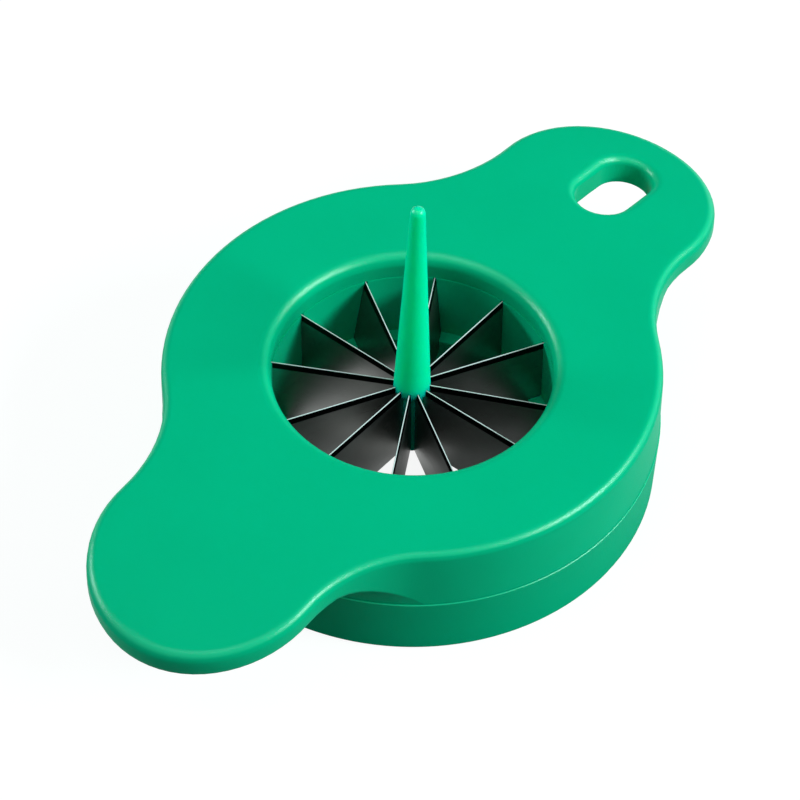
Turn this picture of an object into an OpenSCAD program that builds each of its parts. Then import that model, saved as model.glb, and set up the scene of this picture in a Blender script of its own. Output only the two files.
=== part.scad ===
// Spring onion shredder. Twelve fixed blades stand like spokes between a slim hub and a round drum.
// The vegetable is stood on the centre spike and pushed down through the blades.
// Millimetres. Origin at the middle of the base, +X along the handles towards the hanging slot, +Z up.

/* [Drum] */
// Radius of the upper moulding's drum
drum_r = 35.1; // [33:0.1:38]
// Height of the flat top above the table
body_h = 20.4; // [19.5:0.1:24]
// Height of the parting line between the two mouldings
seam_h = 9.9; // [8:0.1:11]
// Thickness of the top plate where the drum is hollow
plate_t = 2.4; // [1.6:0.1:3]
// Wall thickness of the drum
wall = 2.3; // [1.8:0.1:3]
// Radius on the top edge, all the way round
top_edge_r = 1.4; // [0.6:0.1:2]
// Radius on the upper moulding's lower edge at the parting line
seam_edge_r = 0.05; // [0.05:0.05:0.4]

/* [Handles] */
// Length over both handles
overall_l = 119.6; // [114:0.1:136]
// Radius of each handle's round end
handle_r = 16.8; // [14:0.1:19]
// Radius of the hollow curve between the drum and a handle
neck_r = 20.7; // [16:0.1:26]
// Thickness of the handles
handle_t = 4.5; // [3.6:0.1:5]
// Distance from the middle at which a handle begins to bend down
bend_start = 28.3; // [26:0.1:32]
// Radius of that bend, on the top face
bend_r = 122; // [100:1:240]
// Radius on the handles' lower edge
under_edge_r = 1.5; // [0.6:0.1:1.8]
// Radius of the fillet between a handle's underside and the drum
root_r = 5.6; // [4:0.1:5.8]

/* [Hanging slot] */
// Length of the slot along the handle
slot_l = 13.5; // [10:0.1:15]
// Width of the slot
slot_w = 8.2; // [6:0.1:10]
// Material left between the slot and the handle's end
slot_rim = 6.5; // [5:0.1:9]
// Radius on the slot's top edge
slot_edge_r = 1.6; // [0.5:0.1:2]

/* [Well] */
// Radius of the well at its throat, just under the rounded rim
well_r = 19.8; // [18.6:0.1:21]
// Radius on the well's top edge
well_edge_r = 2; // [0.8:0.1:2.4]
// How much wider the well is at the blades than at its throat
well_draft = 0.35; // [0.2:0.05:0.6]
// Radius of the outlet below the blades
outlet_r = 18; // [16:0.1:18.4]
// Radial step by which the blade carrier stands proud of the well
carrier_step = 0.15; // [0.05:0.05:0.3]

/* [Blades] */
// Number of blades
blade_count = 12; // [6:1:12]
// Height of a blade
blade_h = 12.5; // [10:0.1:13]
// Thickness of a blade
blade_t = 0.4; // [0.3:0.05:0.5]
// Height of the ground bevel below the cutting edge
bevel_h = 0.9; // [0.4:0.1:1.5]
// Width of the cutting edge
edge_t = 0.1; // [0.05:0.05:0.2]
// Height of the ledge at the foot of the blade carrier
ledge_h = 4.9; // [3.9:0.1:5.2]
// Depth of the groove across the ledge in which each blade stands
groove_d = 1.5; // [0.3:0.1:2]
// Distance from the axis at which the blades end inside the hub
blade_inner_r = 1.5; // [1.4:0.1:1.7]
// Depth of a blade's end in the carrier's slot
blade_seat = 2.2; // [1.5:0.1:2.6]

/* [Spike] */
// Height of the spike's tip above the table
spike_top = 51.2; // [45:0.1:60]
// Radius of the spike where it leaves the blades
spike_r = 2.65; // [2.4:0.05:3.2]
// Radius of the spike's rounded tip
tip_r = 1.05; // [0.6:0.05:1.3]
// Lean of the spike above the blades, in degrees
spike_lean = 0.7; // [0:0.1:2]
// Radius of the hub just below the spike's foot
hub_r = 2.3; // [2.1:0.05:2.5]
// Radius of the hub at its lower end
hub_end_r = 2.15; // [1.9:0.05:2.3]
// How far the hub reaches below the blades
hub_drop = 0.1; // [0.05:0.05:1]
// Width and height of the bevel around the hub's lower end
hub_bevel = 0.3; // [0.1:0.05:0.5]

/* [Lower moulding] */
// Radial step by which the lower moulding stands proud of the upper one at the parting line
seam_step = 0.15; // [0.05:0.05:0.3]
// Width and height of the bevel around the lower moulding's upper edge
seam_bevel = 0.1; // [0.05:0.05:0.2]
// How much smaller the lower moulding's radius is at the table than the drum's
base_inset = 0.3; // [0.1:0.05:2]
// Thickness of the lower moulding's floor
floor_t = 2; // [1.2:0.1:3]
// Radius on the lower moulding's bottom edge
base_edge_r = 0.3; // [0.2:0.1:1]
// Wall thickness of the blade carrier
carrier_wall = 3.6; // [3.2:0.1:4.5]
// Height of the locating lip above the parting line
lip_h = 3; // [1.5:0.1:5]
// Thickness of the locating lip
lip_t = 1.6; // [1:0.1:2]

/* [Clearances] */
// Clearance between the locating lip and the upper moulding's wall
lip_gap = 0.15; // [0.05:0.05:0.3]
// Clearance on each side of a blade in its slots
blade_gap = 0.05; // [0.03:0.01:0.1]
// Clearance over a blade's ends and cutting edge
end_gap = 0.1; // [0.05:0.05:0.2]

/* [Hidden] */
$fn = 96;
// Names of the blades, clockwise from the one beside the hanging slot
blade_names = [for (i = [1:blade_count]) str("blade_", i < 10 ? "0" : "", i)];

upper_color = [0.0, 0.73, 0.53];
lower_color = [0.0, 0.70, 0.50];
spike_color = [0.0, 0.78, 0.55];
blade_color = [0.34, 0.33, 0.33];

// How far every cut runs past the face it opens
overrun = 1;

// Small errors in how the blades stand, in degrees. The last two also lean over at their outer ends.
blade_turns = [-0.5, 1.5, -3, 1, -1.5, 0, -1, 1.5, -1, 0.5, -1.5, 0];
blade_leans = [0, 0, 0, 0, 0, 0, 0, 0, 0, 0, 8.5, -4.5];
function blade_angle(i) = -i * 360 / blade_count + blade_turns[i % len(blade_turns)];
function blade_lean(i) = blade_leans[i % len(blade_leans)];

// The direction in which the spike leans
spike_lean_direction = -50;

// Heights that follow from how the pieces stack
blade_foot = ledge_h - groove_d;
blade_top = blade_foot + blade_h;
carrier_top = blade_top + end_gap;
hub_bottom = blade_foot - hub_drop;
well_foot_r = well_r + well_draft;
carrier_r = well_foot_r - carrier_step;
carrier_outer_r = carrier_r + carrier_wall;
hollow_r = drum_r - wall;
base_r = drum_r - base_inset;

// Plan of the upper moulding. The neck circle touches the drum and the handle's round end from outside.
handle_x = overall_l / 2 - handle_r;
neck_x = (pow(handle_x, 2) + pow(drum_r + neck_r, 2) - pow(handle_r + neck_r, 2)) / (2 * handle_x);
neck_y = sqrt(pow(drum_r + neck_r, 2) - pow(neck_x, 2));
drum_angle = atan2(neck_y, neck_x);
handle_angle = atan2(neck_y, neck_x - handle_x);

// Steps along one quarter of the plan, and around the rounded edges
handle_steps = 17;
neck_steps = 10;
drum_steps = 15;
edge_steps = 5;
under_edge_steps = 3;

// A point on an arc, with the direction that faces out of the plan there
function on_arc(x, y, r, a, side) = [x + r * cos(a), y + r * sin(a), side * cos(a), side * sin(a)];

// One quarter of the plan, from the handle's end to just before the middle of the drum
quarter_plan = concat(
    [for (i = [0:handle_steps - 1]) on_arc(handle_x, 0, handle_r, handle_angle * i / handle_steps, 1)],
    [for (i = [0:neck_steps - 1])
        let (a = handle_angle + (drum_angle - handle_angle) * i / neck_steps + 180)
        on_arc(neck_x, neck_y, neck_r, a, -1)],
    [for (i = [0:drum_steps - 1])
        on_arc(0, 0, drum_r, drum_angle + (90 - drum_angle) * i / drum_steps, 1)]);
quarter = len(quarter_plan);
half_plan = concat(quarter_plan, [[0, drum_r, 0, 1]],
    [for (i = [quarter - 1:-1:0]) let (p = quarter_plan[i]) [-p[0], p[1], -p[2], p[3]]]);
plan = concat(half_plan,
    [for (i = [2 * quarter - 1:-1:1]) let (p = half_plan[i]) [p[0], -p[1], p[2], -p[3]]]);
count = len(plan);

// Steps from the nearer handle end, and whether a point of the plan lies on a handle
function steps_from_end(i) = min(i % (count / 2), (count - i) % (count / 2));
function on_handle(i) = steps_from_end(i) < handle_steps + neck_steps;

// Height of the top face: flat over the drum, then bending down along each handle
function top_z(x) =
    let (run = max(0, abs(x) - bend_start))
    body_h - bend_r + sqrt(pow(bend_r, 2) - pow(run, 2));

// Height of the underside: the parting line on the drum, then the root fillet, then the handle's face
function under_z(x, r) =
    let (face = top_z(x) - handle_t, out = r - drum_r)
    out < 0 ? seam_h
    : out < root_r ? max(seam_h, face - root_r + sqrt(pow(root_r, 2) - pow(root_r - out, 2)))
    : face;

// The lower edge's radius grows across the root fillet, from the parting line's to the handle's
function lower_edge_r(p) =
    let (out = norm([p[0], p[1]]) - drum_r)
    seam_edge_r + (under_edge_r - seam_edge_r) * max(0, min(1, out / root_r));

// A point of the plan moved inwards
function inset(p, d) = [p[0] - p[2] * d, p[1] - p[3] * d];

// A ring of points around the top edge, turned a degrees down from the top face
function top_ring(a) = [for (p = plan)
    let (q = inset(p, top_edge_r * (1 - sin(a))))
    [q[0], q[1], top_z(q[0]) - top_edge_r * (1 - cos(a))]];

// A ring of points around the lower edge, turned a degrees in from the side
function under_ring(a) = [for (p = plan)
    let (r = lower_edge_r(p), q = inset(p, r * (1 - cos(a))))
    [q[0], q[1], under_z(q[0], norm(q)) + r * (1 - sin(a))]];

rings = concat(
    [for (k = [0:edge_steps]) top_ring(90 * k / edge_steps)],
    [for (k = [0:under_edge_steps]) under_ring(90 * k / under_edge_steps)]);
ring_points = [for (ring = rings) for (p = ring) p];
last_ring = rings[len(rings) - 1];

// Below each handle, rows of points run in from the lower edge: across the handle's underside, down the
// root fillet, and to just inside the drum's wall
face_rows = 3;
root_rows = 6;
row_count = face_rows + root_rows + 1;
face_r = drum_r + root_r;
root_inner_r = drum_r - 2 * seam_edge_r;
handle_ids = [for (i = [0:count - 1]) if (on_handle(i)) i];
function ring_r(i) = norm([last_ring[i][0], last_ring[i][1]]);
function row_r(i, k) =
    k <= face_rows ? face_r + max(0, ring_r(i) - face_r) * (1 - k / face_rows)
    : k < row_count ? drum_r + root_r * (1 - sin(90 * (k - face_rows) / root_rows))
    : root_inner_r;
function row_point(i, k) =
    let (p = last_ring[i], r = row_r(i, k), q = [p[0], p[1]] * r / ring_r(i))
    [q[0], q[1], under_z(q[0], r)];
row_points = [for (k = [1:row_count]) for (i = handle_ids) row_point(i, k)];

// Index of point i in row k. Where a row would lie outside the lower edge, it is the edge itself.
function row_id(i, k) =
    let (j = (i + count) % count)
    k == 0 || !on_handle(j) || row_r(j, k) >= ring_r(j) ? (len(rings) - 1) * count + j
    : len(ring_points) + (k - 1) * len(handle_ids) + search(j, handle_ids)[0];

// Two triangles between points a, b of one row and points d, c of the next, without the empty ones
function patch(a, b, c, d) = concat(b == c ? [] : [[a, b, c]], a == d ? [] : [[a, c, d]]);

side_faces = [for (k = [0:len(rings) - 2]) for (i = [0:count - 1])
    let (j = (i + 1) % count, a = k * count, b = a + count)
    each patch(a + i, a + j, b + j, b + i)];
row_faces = [for (k = [0:row_count - 1]) for (i = [0:count - 1])
    if (on_handle(i) || on_handle((i + 1) % count))
    each patch(row_id(i, k), row_id(i + 1, k), row_id(i + 1, k + 1), row_id(i, k + 1))];
top_faces = [for (i = [0:count / 2 - 1])
    each concat(i == 0 ? [] : [[i + 1, i, count - i]],
        i == count / 2 - 1 ? [] : [[i + 1, (count - i) % count, count - i - 1]])];
bottom_faces = [for (i = [0:count / 2 - 1])
    let (a = row_id(i, row_count), b = row_id(i + 1, row_count),
         c = row_id(-i - 1, row_count), d = row_id(-i, row_count))
    each concat(i == 0 ? [] : [[d, a, b]], i == count / 2 - 1 ? [] : [[c, d, b]])];

module body_blank() {
    polyhedron(concat(ring_points, row_points), concat(side_faces, row_faces, top_faces, bottom_faces));
}

// A solid through rings of points, which run anticlockwise as seen from outside the first ring's end
module loft(ring_list) {
    n = len(ring_list[0]);
    last = (len(ring_list) - 1) * n;
    polyhedron(
        [for (ring = ring_list) for (p = ring) p],
        concat(
            [[for (i = [n - 1:-1:0]) i], [for (i = [0:n - 1]) last + i]],
            [for (k = [0:len(ring_list) - 2]) for (i = [0:n - 1])
                let (j = (i + 1) % n, a = k * n, b = a + n)
                each patch(a + i, a + j, b + j, b + i)]));
}

// Profile of a rounded rim: turned about an axis r away, it cuts a convex edge of radius e
module rim_profile(r, e) {
    difference() {
        translate([r - overrun, -e]) square([e + overrun, e + overrun]);
        translate([r + e, -e]) circle(e);
    }
}

// The well through the top plate, wider at the blades, with its rounded rim
module well_cut() {
    rotate_extrude() polygon([
        [0, carrier_top - overrun], [well_foot_r, carrier_top - overrun], [well_foot_r, carrier_top],
        [well_r, body_h - well_edge_r], [well_r, body_h + overrun], [0, body_h + overrun]]);
    translate([0, 0, body_h]) rotate_extrude() intersection() {
        rim_profile(well_r, well_edge_r);
        translate([0, -body_h]) square([drum_r, body_h + overrun]);
    }
}

// The hanging slot, square to the bent handle at its middle
slot_x = overall_l / 2 - slot_rim - slot_l / 2;
slot_tilt = asin((slot_x - bend_start) / bend_r);
slot_half = (slot_l - slot_w) / 2;

module slot_cut() {
    depth = handle_t + 2 * overrun;
    translate([slot_x, 0, top_z(slot_x)]) rotate([0, slot_tilt, 0]) {
        for (s = [-1, 1]) translate([s * slot_half, 0, overrun - depth]) cylinder(d = slot_w, h = depth);
        translate([-slot_half, -slot_w / 2, overrun - depth]) cube([2 * slot_half, slot_w, depth]);
    }
}

// The rounded rim of the hanging slot follows the bent top face
rim_steps = 5;
rim_end_steps = 16;
slot_plan = concat(
    [for (i = [0:rim_end_steps]) let (a = -90 + 180 * i / rim_end_steps) [slot_half, a]],
    [for (i = [0:rim_end_steps]) let (a = 90 + 180 * i / rim_end_steps) [-slot_half, a]]);
// The round runs on this far past the slot's wall, so that the two cuts meet at an angle
rim_lap = 0.05;
function slot_ring(out, down) = [for (p = slot_plan)
    let (r = slot_w / 2 + out, x = slot_x + (p[0] + r * cos(p[1])) * cos(slot_tilt))
    [x - down * sin(slot_tilt), r * sin(p[1]), top_z(x) - down * cos(slot_tilt)]];

module slot_rim_cut() {
    loft(concat(
        [slot_ring(slot_edge_r, -overrun)],
        [for (k = [0:rim_steps]) let (a = 90 * k / rim_steps)
            slot_ring(slot_edge_r * (1 - sin(a)) - rim_lap, slot_edge_r * (1 - cos(a)))],
        [slot_ring(-slot_edge_r, 2 * slot_edge_r)]));
}

module upper_body() {
    color(upper_color) difference() {
        body_blank();
        well_cut();
        // Room for the blade carrier below the well, and the hollow between it and the drum's wall
        translate([0, 0, seam_h - overrun])
            cylinder(r = carrier_outer_r, h = carrier_top - seam_h + overrun);
        translate([0, 0, seam_h - overrun]) difference() {
            cylinder(r = hollow_r, h = body_h - plate_t - seam_h + overrun);
            cylinder(r = carrier_outer_r, h = body_h);
        }
        slot_cut();
        slot_rim_cut();
    }
}

// Half section of the lower moulding: drum wall, floor, blade carrier with its ledge, and locating lip
module lower_section() {
    seam_r = drum_r + seam_step;
    lip_outer_r = hollow_r - lip_gap;
    translate([base_r - base_edge_r, base_edge_r]) circle(base_edge_r);
    polygon([
        [outlet_r, 0], [base_r - base_edge_r, 0], [base_r, base_edge_r], [seam_r, seam_h - seam_bevel],
        [seam_r - seam_bevel, seam_h], [lip_outer_r, seam_h], [lip_outer_r, seam_h + lip_h],
        [lip_outer_r - lip_t, seam_h + lip_h], [lip_outer_r - lip_t, floor_t], [carrier_outer_r, floor_t],
        [carrier_outer_r, carrier_top], [carrier_r, carrier_top], [carrier_r, ledge_h], [outlet_r, ledge_h]]);
}

// The blade slots are open at the top and closed at the back, and run on as grooves across the ledge
module carrier_slots() {
    slot_t = blade_t + 2 * blade_gap;
    reach = blade_seat + end_gap;
    for (i = [0:blade_count - 1]) rotate(blade_angle(i))
        translate([outlet_r - overrun, 0, blade_top]) rotate([blade_lean(i), 0, 0])
            translate([0, -slot_t / 2, -blade_h])
                cube([carrier_r + reach - outlet_r + overrun, slot_t, carrier_top - blade_foot + overrun]);
}

module lower_ring() {
    color(lower_color) difference() {
        rotate_extrude() lower_section();
        carrier_slots();
    }
}

// The cone above the blades, with its round tip
module spike_cone() {
    foot_z = blade_top - bevel_h + end_gap;
    tip_z = spike_top - tip_r;
    translate([0, 0, foot_z]) cylinder(r1 = spike_r, r2 = tip_r, h = tip_z - foot_z);
    translate([0, 0, tip_z]) sphere(tip_r);
}

// The hub between the blades runs on a little way inside the cone
module hub() {
    translate([0, 0, hub_bottom]) cylinder(r1 = hub_end_r - hub_bevel, r2 = hub_end_r, h = hub_bevel);
    translate([0, 0, hub_bottom + hub_bevel])
        cylinder(r1 = hub_end_r, r2 = hub_r, h = blade_top - hub_bottom - hub_bevel);
}

module spike() {
    slot_t = blade_t + 2 * blade_gap;
    color(spike_color) difference() {
        union() {
            translate([0, 0, blade_top]) rotate(spike_lean_direction) rotate([0, spike_lean, 0])
                translate([0, 0, -blade_top]) spike_cone();
            hub();
        }
        // The blades' slots, open at the hub's lower end
        for (i = [0:blade_count - 1]) rotate(blade_angle(i))
            translate([blade_inner_r - end_gap, -slot_t / 2, hub_bottom - overrun])
                cube([spike_r + overrun, slot_t, blade_top + end_gap - hub_bottom + overrun]);
    }
}

// Section of a blade, ground to an edge on both sides. Its origin is at the edge, and its sides have n rows.
function blade_side(x, n) = [for (k = [0:n]) [x, -blade_h + (blade_h - bevel_h) * k / n]];
function reversed(list) = [for (i = [len(list) - 1:-1:0]) list[i]];
function blade_section(n) = concat(
    blade_side(blade_t / 2, n), [[edge_t / 2, 0], [-edge_t / 2, 0]], reversed(blade_side(-blade_t / 2, n)));
blade_end_r = carrier_r + blade_seat;

// A leaning blade stands upright in the hub and leans more and more up to the carrier, which holds it
bend_steps = 40;
bend_rows = 1;

// Its section at distance x from the axis, leaning a degrees about its edge
function blade_ring(x, a) = [for (p = blade_section(bend_rows))
    [x, p[0] * cos(a) - p[1] * sin(a), p[0] * sin(a) + p[1] * cos(a)]];

module leaning_blade(lean) {
    loft(concat(
        [blade_ring(blade_end_r, lean)],
        [for (k = [bend_steps:-1:0])
            blade_ring(spike_r + (outlet_r - spike_r) * k / bend_steps, lean * k / bend_steps)],
        [blade_ring(blade_inner_r, 0)]));
}

module blade(i) {
    color(blade_color) rotate(blade_angle(i)) translate([0, 0, blade_top])
        if (blade_lean(i) == 0)
            translate([blade_inner_r, 0, 0]) rotate([90, 0, 90])
                linear_extrude(blade_end_r - blade_inner_r) polygon(blade_section(1));
        else
            leaning_blade(blade_lean(i));
}

upper_body();
lower_ring();
spike();
for (i = [0:blade_count - 1]) blade(i);
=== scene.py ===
"""Dresses the spring onion shredder: satin green mouldings, ground steel blades and a plain white studio."""
from math import cos, pi, radians, sin

import bmesh
import bpy
from mathutils import Matrix, Vector


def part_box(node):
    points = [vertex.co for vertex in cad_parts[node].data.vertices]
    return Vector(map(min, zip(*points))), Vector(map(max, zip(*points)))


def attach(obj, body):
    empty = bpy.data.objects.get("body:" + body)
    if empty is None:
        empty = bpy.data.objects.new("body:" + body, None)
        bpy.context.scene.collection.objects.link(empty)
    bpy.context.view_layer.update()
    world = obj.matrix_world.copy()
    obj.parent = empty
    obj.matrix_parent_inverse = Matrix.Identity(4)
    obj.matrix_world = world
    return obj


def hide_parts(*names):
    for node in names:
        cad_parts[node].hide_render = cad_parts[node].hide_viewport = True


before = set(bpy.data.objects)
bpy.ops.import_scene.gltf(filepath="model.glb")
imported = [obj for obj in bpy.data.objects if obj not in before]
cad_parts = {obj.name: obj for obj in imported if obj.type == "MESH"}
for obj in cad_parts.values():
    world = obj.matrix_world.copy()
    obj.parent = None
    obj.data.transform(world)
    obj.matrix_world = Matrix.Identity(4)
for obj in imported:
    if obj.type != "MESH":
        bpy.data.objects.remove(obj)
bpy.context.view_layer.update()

MM = 0.001
BODY = "root"

# The photograph's view. Lengths are in millimetres, angles in degrees, and image places in pixels of an
# 800 pixel square.
IMAGE = 800
VIEW_AZIMUTH = -51.29
VIEW_ELEVATION = 49.04
VIEW_ROLL = 0.84
VIEW_DISTANCE = 612.8
VIEW_TARGET = (-1.03, 8.4)
FOCAL_PIXELS = 4241.0
CENTRE_PIXEL = (403.8, 410.6)
SENSOR = 36.0

# Nearly all of a noise lies between these two numbers.
NOISE_SPAN = (0.3, 0.7)

# The green mouldings. The rim numbers say how far up the surface of a rounded rim faces, where 1 is
# straight up, and the painted highlight is how far a rim's colour is painted towards a brighter green.
SATIN = 0.32
ROUGHNESS_SWING = 0.03
CLOUD_SPAN = (0.3, 0.75)
RIM_LEAVES_WALL = (0.5, 0.68)
RIM_MEETS_FLAT = (0.84, 0.96)
RIM_GLOSS = 0.24
PLAIN_GLOSS = 0.012
# Painted highlight: the share of the brighter green on the rims that face up.
RIM_PAINTED_HIGHLIGHT = 0.35
GRAIN_DEPTH = 0.03 * MM
GLINT_DEPTH = 0.06 * MM

# The blades. A band painted near black along the bevel and a thin white line, a painted glint on the edge,
# reach down from the blades' top, and each fades out between its two depths. The rolled lines are fine
# across a blade and long along it.
BEVEL_REACH = (1.1 * MM, 0.95 * MM)
GLINT_REACH = (0.09 * MM, 0.06 * MM)
LINES_PER_METRE = (250, 250, 9000)
LINE_DEPTH = 0.006 * MM
STEEL_ROUGHNESS = (0.27, 0.36)

# Corners of a mesh that lie closer than this are one corner.
WELD = 0.0005 * MM

# The table. In reflections it is shaded under the drum, and the shade ends between two distances from the
# axis. In it lies a pool of light that falls between the blades, full inside its second radius.
TABLE_HALF = 3.0
TABLE_GREY = (0.17, 0.17, 0.17, 1)
TABLE_GLOW = 0.9
SHADE_ENDS = (34 * MM, 44 * MM)
POOL_CENTRE = (-2 * MM, 9 * MM, 0)
POOL_RADII = (15 * MM, 5 * MM)
POOL_LEVELS = (0.12, 1.3)

# The room and its lamps. The room is dim to the object and white to the camera. The lamps are a little
# cool, which gives the highlights on the green their mint tone.
WHITE = (1, 1, 1, 1)
ROOM_LIGHT = 0.15
ROOM_IN_REFLECTIONS = 0.2
LAMP_COLOUR = (0.74, 1.0, 1.0)
LAMP_AIM = Vector((0, 0, 15 * MM))


def make_camera():
    """A long lens at the photograph's angle. The target is a point on the table, measured across and away
    from the view."""
    a = radians(VIEW_AZIMUTH)
    e = radians(VIEW_ELEVATION)
    back = Vector((sin(a) * cos(e), -cos(a) * cos(e), sin(e)))
    right = Vector((cos(a), sin(a), 0))
    away = Vector((-sin(a), cos(a), 0))
    up = back.cross(right)
    basis = Matrix((right, up, back)).transposed() @ Matrix.Rotation(radians(VIEW_ROLL), 3, "Z")
    middle = (IMAGE - 1) / 2
    data = bpy.data.cameras.new("camera")
    data.sensor_width = SENSOR
    data.lens = FOCAL_PIXELS * SENSOR / IMAGE
    data.shift_x = (middle - CENTRE_PIXEL[0]) / IMAGE
    data.shift_y = (CENTRE_PIXEL[1] - middle) / IMAGE
    data.clip_start = 0.01
    data.clip_end = 10
    camera = bpy.data.objects.new("camera", data)
    camera.matrix_world = basis.to_4x4()
    target = right * VIEW_TARGET[0] + away * VIEW_TARGET[1]
    camera.location = (target + back * VIEW_DISTANCE) * MM
    bpy.context.scene.collection.objects.link(camera)
    bpy.context.scene.camera = camera


def srgb(r, g, b):
    """A colour given as sRGB numbers from 0 to 255, as a shader takes it."""
    def linear(v):
        v /= 255
        return v / 12.92 if v <= 0.04045 else ((v + 0.055) / 1.055) ** 2.4
    return (linear(r), linear(g), linear(b), 1)


class Nodes:
    """A short way to fill the node tree of a material or of the world."""

    def __init__(self, owner):
        owner.use_nodes = True
        self.owner = owner
        self.tree = owner.node_tree
        self.tree.nodes.clear()

    def add(self, kind, inputs=None, **settings):
        """A node with its settings. An input is a plain value, or the output of another node."""
        node = self.tree.nodes.new(kind)
        for key, value in settings.items():
            setattr(node, key, value)
        for key, value in (inputs or {}).items():
            if isinstance(value, bpy.types.NodeSocket):
                self.tree.links.new(value, node.inputs[key])
            else:
                node.inputs[key].default_value = value
        return node

    def noise(self, where, scale, detail, roughness=0.5):
        """Soft random spots. The scale is how many there are to a metre."""
        inputs = {"Vector": where, "Scale": scale, "Detail": detail, "Roughness": roughness}
        return self.add("ShaderNodeTexNoise", inputs).outputs["Fac"]

    def bump(self, height, strength, depth):
        """The surface's normal, roughened by a height."""
        inputs = {"Strength": strength, "Distance": depth, "Height": height}
        return self.add("ShaderNodeBump", inputs).outputs["Normal"]

    def ramp(self, value, start, end, low=0.0, high=1.0, curve="LINEAR"):
        """The low number up to where the value is start, the high one from where it is end."""
        inputs = {"Value": value, "From Min": start, "From Max": end, "To Min": low, "To Max": high}
        return self.add("ShaderNodeMapRange", inputs, interpolation_type=curve).outputs["Result"]

    def maths(self, operation, first, second):
        """What an operation makes of two numbers."""
        return self.add("ShaderNodeMath", {0: first, 1: second}, operation=operation).outputs[0]

    def blend(self, share, first, second):
        """A colour between two. The numbers are the sockets of a colour mix."""
        return self.add("ShaderNodeMix", {0: share, 6: first, 7: second}, data_type="RGBA").outputs[2]

    def finish(self, kind, surface):
        """Ends the tree in an output of the given kind."""
        self.add(kind, {"Surface": surface.outputs[0]})
        return self.owner


def moulded_plastic(name, colour, shade, roughness=SATIN, spread=0.35, depth=1.2 * MM):
    """Satin polypropylene: a clean colour with faint clouds, a fine grain that breaks up highlights, and
    light that spreads a little under the surface. The rounded rims that face up are glossier than the
    flats and the walls, and their colour is painted brighter, a painted highlight where the lamps catch
    them."""
    n = Nodes(bpy.data.materials.new(name))
    place = n.add("ShaderNodeTexCoord")
    where = place.outputs["Object"]
    clouds = n.noise(where, scale=60, detail=3)
    grain = n.noise(where, scale=3600, detail=2, roughness=0.6)
    flow = n.noise(where, scale=9, detail=2)
    tint = n.blend(n.ramp(clouds, *CLOUD_SPAN), colour, shade)
    # Painted highlight: the brighter green that the rims that face up are painted towards.
    painted_highlight_tint = srgb(2, 234, 170)
    gloss = n.ramp(flow, *NOISE_SPAN, roughness - ROUGHNESS_SWING, roughness + ROUGHNESS_SWING)
    upward = n.add("ShaderNodeSeparateXYZ", {"Vector": place.outputs["Normal"]}).outputs["Z"]
    off_wall = n.ramp(upward, *RIM_LEAVES_WALL)
    off_flat = n.ramp(upward, *reversed(RIM_MEETS_FLAT))
    # The rims that face up get more gloss, and their colour gets a painted highlight.
    rim_gloss_and_painted_highlight = n.maths("MULTIPLY", off_wall, off_flat)
    shader = n.add("ShaderNodeBsdfPrincipled", {
        "Base Color": n.blend(n.maths("MULTIPLY", rim_gloss_and_painted_highlight, RIM_PAINTED_HIGHLIGHT), tint, painted_highlight_tint),
        "Roughness": gloss,
        "Normal": n.bump(grain, strength=0.6, depth=GRAIN_DEPTH),
        "IOR": 1.49,
        "Specular IOR Level": 0.01,
        "Subsurface Weight": spread,
        "Subsurface Radius": (0.3, 1.0, 0.7),
        "Subsurface Scale": depth,
        "Coat Weight": n.ramp(rim_gloss_and_painted_highlight, 0.0, 1.0, PLAIN_GLOSS, RIM_GLOSS),
        "Coat IOR": 2.5,
        "Coat Roughness": 0.26,
        "Coat Normal": n.bump(grain, strength=1.0, depth=GLINT_DEPTH),
    })
    return n.finish("ShaderNodeOutputMaterial", shader)


def blade_steel(name, top):
    """Cold rolled strip: dark grey satin with fine lengthwise lines, a band painted near black along the
    bevel, and a thin line along the top edge painted white, a painted glint."""
    n = Nodes(bpy.data.materials.new(name))
    where = n.add("ShaderNodeTexCoord").outputs["Object"]
    drawn_out = n.add("ShaderNodeMapping", {"Vector": where, "Scale": LINES_PER_METRE})
    lines = n.noise(drawn_out.outputs["Vector"], scale=1, detail=4, roughness=0.6)
    stain = n.noise(where, scale=180, detail=3)
    height = n.add("ShaderNodeSeparateXYZ", {"Vector": where}).outputs["Z"]
    on_bevel = n.ramp(height, top - BEVEL_REACH[0], top - BEVEL_REACH[1])
    glint_band = n.ramp(height, top - GLINT_REACH[0], top - GLINT_REACH[1])
    strip = n.blend(stain, srgb(170, 172, 170), srgb(150, 152, 150))
    # A band painted near black along the bevel below the top.
    ground = n.blend(on_bevel, strip, srgb(26, 28, 27))
    # Painted glint: a thin line at the top is painted white, and is not metal.
    with_painted_glint = n.blend(glint_band, ground, srgb(250, 250, 250))
    shader = n.add("ShaderNodeBsdfPrincipled", {
        "Base Color": with_painted_glint,
        "Metallic": n.maths("SUBTRACT", 1.0, glint_band),
        "Roughness": n.ramp(lines, *NOISE_SPAN, *STEEL_ROUGHNESS),
        "Specular Tint": (0.6, 0.6, 0.6, 1),
        "Normal": n.bump(lines, strength=0.12, depth=LINE_DEPTH),
    })
    return n.finish("ShaderNodeOutputMaterial", shader)


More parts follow.
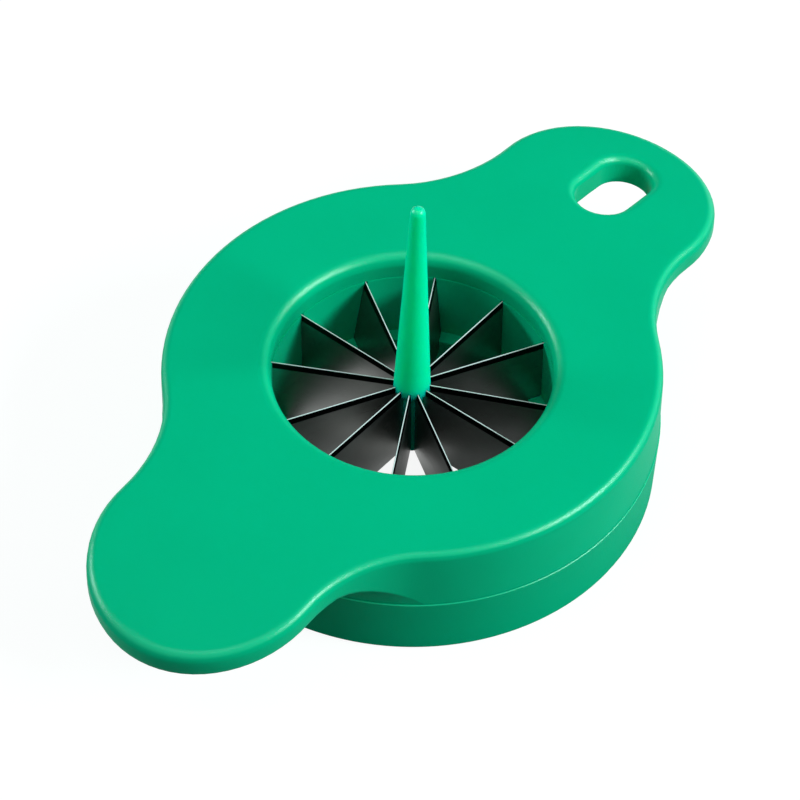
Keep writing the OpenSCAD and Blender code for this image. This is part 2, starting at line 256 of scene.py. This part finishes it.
def smooth_shell(node, material, angle=28, rings=0):
    """A copy of a CAD node's mesh, welded and shaded smooth across its small facets, which stands for that
    node. The rings are level cuts that keep a tall form's shading even."""
    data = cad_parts[node].data.copy()
    data.materials.clear()
    data.materials.append(material)
    mesh = bmesh.new()
    mesh.from_mesh(data)
    bmesh.ops.remove_doubles(mesh, verts=mesh.verts, dist=WELD)
    bmesh.ops.dissolve_degenerate(mesh, edges=mesh.edges, dist=WELD)
    low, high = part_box(node)
    for ring in range(rings):
        level = low.z + (high.z - low.z) * (ring + 0.5) / rings
        whole = mesh.verts[:] + mesh.edges[:] + mesh.faces[:]
        bmesh.ops.bisect_plane(mesh, geom=whole, dist=WELD, plane_co=(0, 0, level), plane_no=(0, 0, 1))
    for face in mesh.faces:
        face.smooth = True
    mesh.to_mesh(data)
    mesh.free()
    if data.has_custom_normals:
        data.attributes.remove(data.attributes["custom_normal"])
    data.set_sharp_from_angle(angle=radians(angle))
    piece = bpy.data.objects.new(node + "_shell", data)
    bpy.context.scene.collection.objects.link(piece)
    weighted = piece.modifiers.new("normals", "WEIGHTED_NORMAL")
    weighted.keep_sharp = True
    weighted.weight = 50
    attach(piece, BODY)
    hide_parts(node)


def dress_mouldings():
    """The two mouldings of the body are nearly the same green. The spike is the same plastic with its green
    painted brighter, painted light for a slim part that stands clear of the drum, and it is thin enough for
    light to come through."""
    upper = moulded_plastic("green_plastic", colour=srgb(1, 190, 137), shade=srgb(1, 186, 134))
    smooth_shell("upper_body", upper)
    lower = moulded_plastic("green_plastic_lower", colour=srgb(1, 184, 132), shade=srgb(1, 180, 130))
    smooth_shell("lower_ring", lower)
    # Painted light: the spike's colour is a brighter, lit copy of the body's green.
    spike = moulded_plastic("green_plastic_spike", colour=srgb(1, 243, 172), shade=srgb(1, 239, 169),
                            roughness=0.28, spread=1.0, depth=2.5 * MM)
    smooth_shell("spike", spike, rings=36)


def dress_blades():
    """All the blades are of one steel. Their tops are level."""
    steel = blade_steel("blade_steel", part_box("blade_01")[1].z)
    for node in sorted(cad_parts):
        if node.startswith("blade_"):
            smooth_shell(node, steel, angle=8)


def seen_rays(n):
    """Two switches: 1 for what the camera sees, and 1 for what a reflection or a view through glass sees."""
    path = n.add("ShaderNodeLightPath").outputs
    return path["Is Camera Ray"], n.maths("MAXIMUM", path["Is Glossy Ray"], path["Is Transmission Ray"])


def make_floor():
    """A plain white table top far larger than the view. It keeps the object's shadow, and throws little
    light back."""
    mesh = bpy.data.meshes.new("floor")
    corners = [(x * TABLE_HALF, y * TABLE_HALF, 0) for x, y in ((-1, -1), (1, -1), (1, 1), (-1, 1))]
    mesh.from_pydata(corners, [], [(0, 1, 2, 3)])
    n = Nodes(bpy.data.materials.new("white_table"))
    camera, mirrored = seen_rays(n)
    place = n.add("ShaderNodeNewGeometry").outputs["Position"]
    from_pool = n.add("ShaderNodeVectorMath", {0: place, 1: POOL_CENTRE}, operation="DISTANCE")
    from_axis = n.add("ShaderNodeVectorMath", {0: place}, operation="LENGTH")
    pool = n.ramp(from_pool.outputs["Value"], *POOL_RADII, *POOL_LEVELS, "SMOOTHSTEP")
    outside = n.ramp(from_axis.outputs["Value"], *SHADE_ENDS)
    reflected = n.maths("MULTIPLY", n.maths("MAXIMUM", pool, outside), mirrored)
    seen = n.maths("MAXIMUM", reflected, camera)
    matt = n.add("ShaderNodeBsdfDiffuse", {"Color": TABLE_GREY})
    glow = n.add("ShaderNodeEmission", {"Color": WHITE, "Strength": n.maths("MULTIPLY", seen, TABLE_GLOW)})
    both = n.add("ShaderNodeAddShader", {0: matt.outputs[0], 1: glow.outputs[0]})
    mesh.materials.append(n.finish("ShaderNodeOutputMaterial", both))
    floor = bpy.data.objects.new("floor", mesh)
    bpy.context.scene.collection.objects.link(floor)


def area_light(name, azimuth, elevation, distance, size, strength):
    """A soft lamp aimed at the middle of the drum. Azimuth is measured from the camera's right towards the
    far side, in degrees, and strength is the brightness of the lamp's face, where 1 is white."""
    data = bpy.data.lights.new(name, "AREA")
    data.shape = "RECTANGLE"
    data.size, data.size_y = size
    data.energy = strength * size[0] * size[1] * pi
    data.color = LAMP_COLOUR
    lamp = bpy.data.objects.new(name, data)
    a = radians(azimuth + VIEW_AZIMUTH)
    e = radians(elevation)
    aim = Vector((cos(a) * cos(e), sin(a) * cos(e), sin(e)))
    lamp.location = aim * distance + LAMP_AIM
    lamp.rotation_euler = aim.to_track_quat("Z", "Y").to_euler()
    bpy.context.scene.collection.objects.link(lamp)


def make_room():
    """What the camera sees of the room is white. It is dim to the object, and to reflections too."""
    world = bpy.data.worlds.new("studio")
    n = Nodes(world)
    camera, mirrored = seen_rays(n)
    dim = n.ramp(mirrored, 0.0, 1.0, ROOM_LIGHT, ROOM_IN_REFLECTIONS)
    room = n.add("ShaderNodeBackground", {"Color": WHITE, "Strength": n.maths("MAXIMUM", dim, camera)})
    n.finish("ShaderNodeOutputWorld", room)
    bpy.context.scene.world = world


def make_lamps():
    """A large lamp on the right and a smaller one on the left, both bright and low, and a faint one
    overhead."""
    area_light("overhead", azimuth=-140, elevation=76, distance=0.9, size=(0.6, 0.6), strength=1.8)
    area_light("right", azimuth=-15, elevation=32, distance=1.4, size=(0.9, 0.42), strength=16)
    area_light("left", azimuth=165, elevation=20, distance=1.4, size=(0.5, 0.28), strength=17)


make_camera()
dress_mouldings()
dress_blades()
make_floor()
make_room()
make_lamps()

bpy.context.scene.view_settings.view_transform = "Standard"
